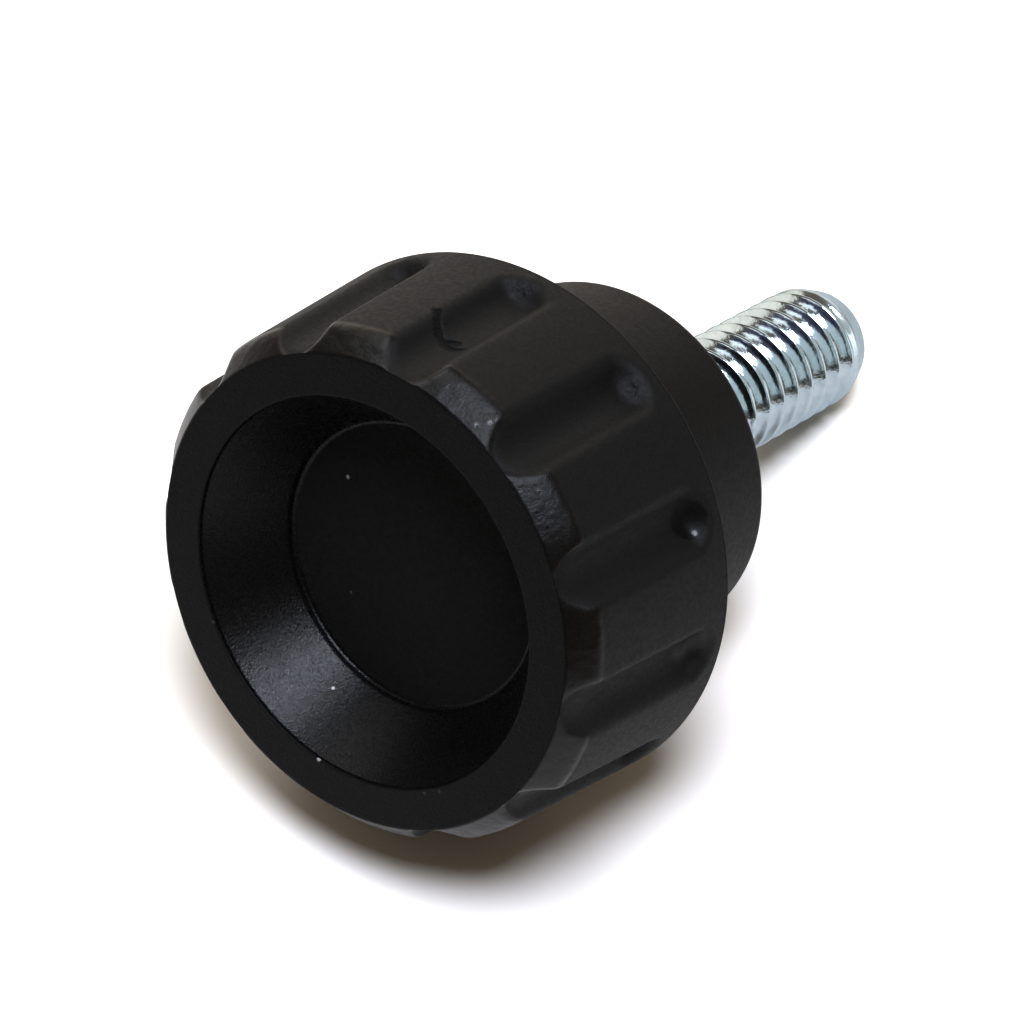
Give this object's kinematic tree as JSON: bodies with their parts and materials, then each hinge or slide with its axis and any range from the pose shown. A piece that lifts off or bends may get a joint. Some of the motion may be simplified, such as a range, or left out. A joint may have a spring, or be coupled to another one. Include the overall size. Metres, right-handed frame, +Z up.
{
  "type": "clamping knob",
  "caption": "Small fluted plastic knob with a dished front, a plain hub behind the grip and a threaded metal stud for clamping by hand.",
  "frame": {"origin": "on the floor, under the middle of the knob's outline as it lies", "axes": "+Z up from the floor; +Y along the knob towards the end of the stud, which slopes down by just under 20 degrees; the dish faces -Y and a little up; X across the knob"},
  "size_m": [0.0254, 0.0404, 0.0261],
  "materials": {
    "black_plastic": "moulded black, matte with a fine grain",
    "zinc_plated_steel": "bright zinc plating, pale blue-grey"
  },
  "bodies": {
    "root": {"knob_body": "black_plastic", "threaded_stud": "zinc_plated_steel"}
  },
  "joints": []
}
